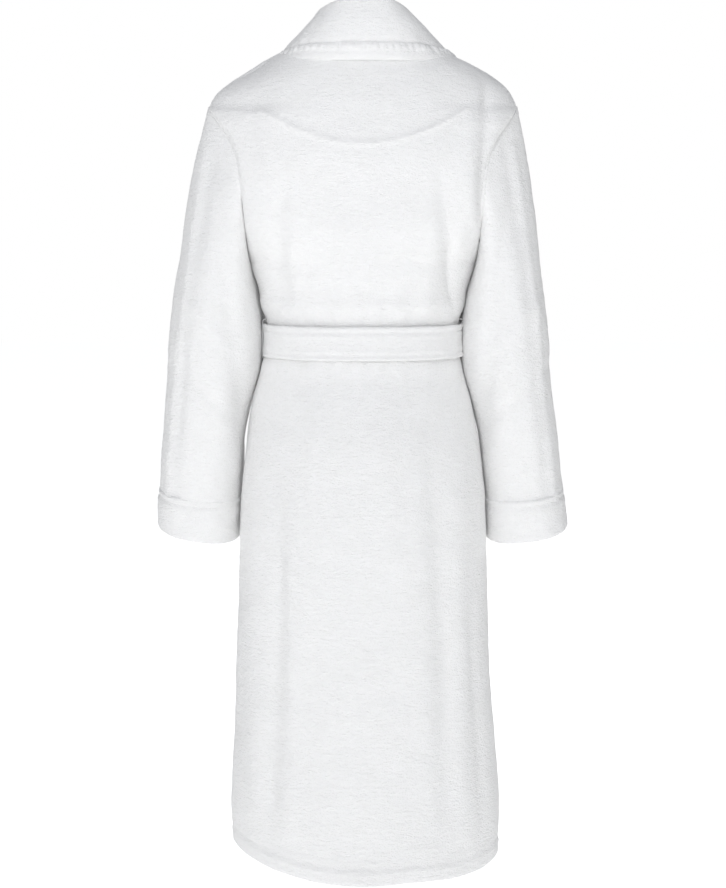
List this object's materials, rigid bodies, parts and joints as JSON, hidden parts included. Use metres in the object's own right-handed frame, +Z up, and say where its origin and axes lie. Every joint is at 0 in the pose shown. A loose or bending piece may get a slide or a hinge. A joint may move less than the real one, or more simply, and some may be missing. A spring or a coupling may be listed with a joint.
{
  "type": "bathrobe",
  "caption": "Long terry bathrobe with a shawl collar, set-in sleeves with turned cuffs, a tied belt in side loops, patch pockets and a hanging loop, shown as worn on an unseen form.",
  "frame": {"origin": "middle of the neck opening at nape height, where the shoulders of a wearer or form carry the robe", "axes": "+Z up along the robe's length, +Y out of its back and -Y out of its open front, +X to the wearer's left"},
  "size_m": [0.588, 0.2912, 1.1931],
  "materials": {
    "terry": "white cotton terry with a short looped pile",
    "tape": "white cotton twill tape",
    "label": "blank woven satin label"
  },
  "bodies": {
    "robe": {"back_panel": "terry", "left_front": "terry", "right_front": "terry", "shawl_collar": "terry", "collar_edge_band": "terry", "collar_stand": "terry", "back_neck_facing": "terry", "belt": "terry", "belt_knot": "terry", "left_pocket": "terry", "right_pocket": "terry", "left_pocket_band": "terry", "right_pocket_band": "terry", "left_belt_loop": "tape", "right_belt_loop": "tape", "neck_label": "label", "care_label": "label"},
    "left_sleeve": {"left_upper_sleeve": "terry"},
    "right_sleeve": {"right_upper_sleeve": "terry"},
    "left_forearm": {"left_forearm_sleeve": "terry", "left_cuff": "terry"},
    "right_forearm": {"right_forearm_sleeve": "terry", "right_cuff": "terry"},
    "left_skirt_front": {"left_front_skirt": "terry"},
    "right_skirt_front": {"right_front_skirt": "terry"},
    "left_tail": {"left_belt_tail": "terry"},
    "right_tail": {"right_belt_tail": "terry"},
    "loop": {"hanging_loop": "tape"}
  },
  "joints": [
    {"name": "left_sleeve_lift", "type": "hinge", "parent": "robe", "child": "left_sleeve", "pos_m": [0.205, 0, -0.06], "axis": [0, -1, 0], "range_deg": [0, 45]},
    {"name": "right_sleeve_lift", "type": "hinge", "parent": "robe", "child": "right_sleeve", "pos_m": [-0.205, 0, -0.06], "axis": [0, 1, 0], "range_deg": [0, 45]},
    {"name": "left_elbow_bend", "type": "hinge", "parent": "left_sleeve", "child": "left_forearm", "pos_m": [0.21, -0.0846, -0.43], "axis": [-1, 0, 0], "range_deg": [0, 75]},
    {"name": "right_elbow_bend", "type": "hinge", "parent": "right_sleeve", "child": "right_forearm", "pos_m": [-0.21, -0.0846, -0.43], "axis": [-1, 0, 0], "range_deg": [0, 75]},
    {"name": "right_skirt_open", "type": "hinge", "parent": "robe", "child": "right_skirt_front", "pos_m": [-0.1785, 0, -0.77], "axis": [-0.0345, 0, -0.9994], "range_deg": [0, 45]},
    {"name": "left_skirt_open", "type": "hinge", "parent": "robe", "child": "left_skirt_front", "pos_m": [0.1785, 0, -0.77], "axis": [-0.0345, 0, 0.9994], "range_deg": [0, 18]},
    {"name": "left_tail_swing", "type": "hinge", "parent": "robe", "child": "left_tail", "pos_m": [0.026, -0.1465, -0.4228], "axis": [-1, 0, 0], "range_deg": [0, 60]},
    {"name": "right_tail_swing", "type": "hinge", "parent": "robe", "child": "right_tail", "pos_m": [-0.026, -0.1465, -0.4228], "axis": [-1, 0, 0], "range_deg": [0, 60]},
    {"name": "hanging_loop_flip", "type": "hinge", "parent": "robe", "child": "loop", "pos_m": [0, 0.048, 0.006], "axis": [-1, 0, 0], "range_deg": [0, 140]}
  ],
  "couplings": [
    {"joint": "left_skirt_open", "follows": "right_skirt_open", "ratio": 0.4}
  ]
}
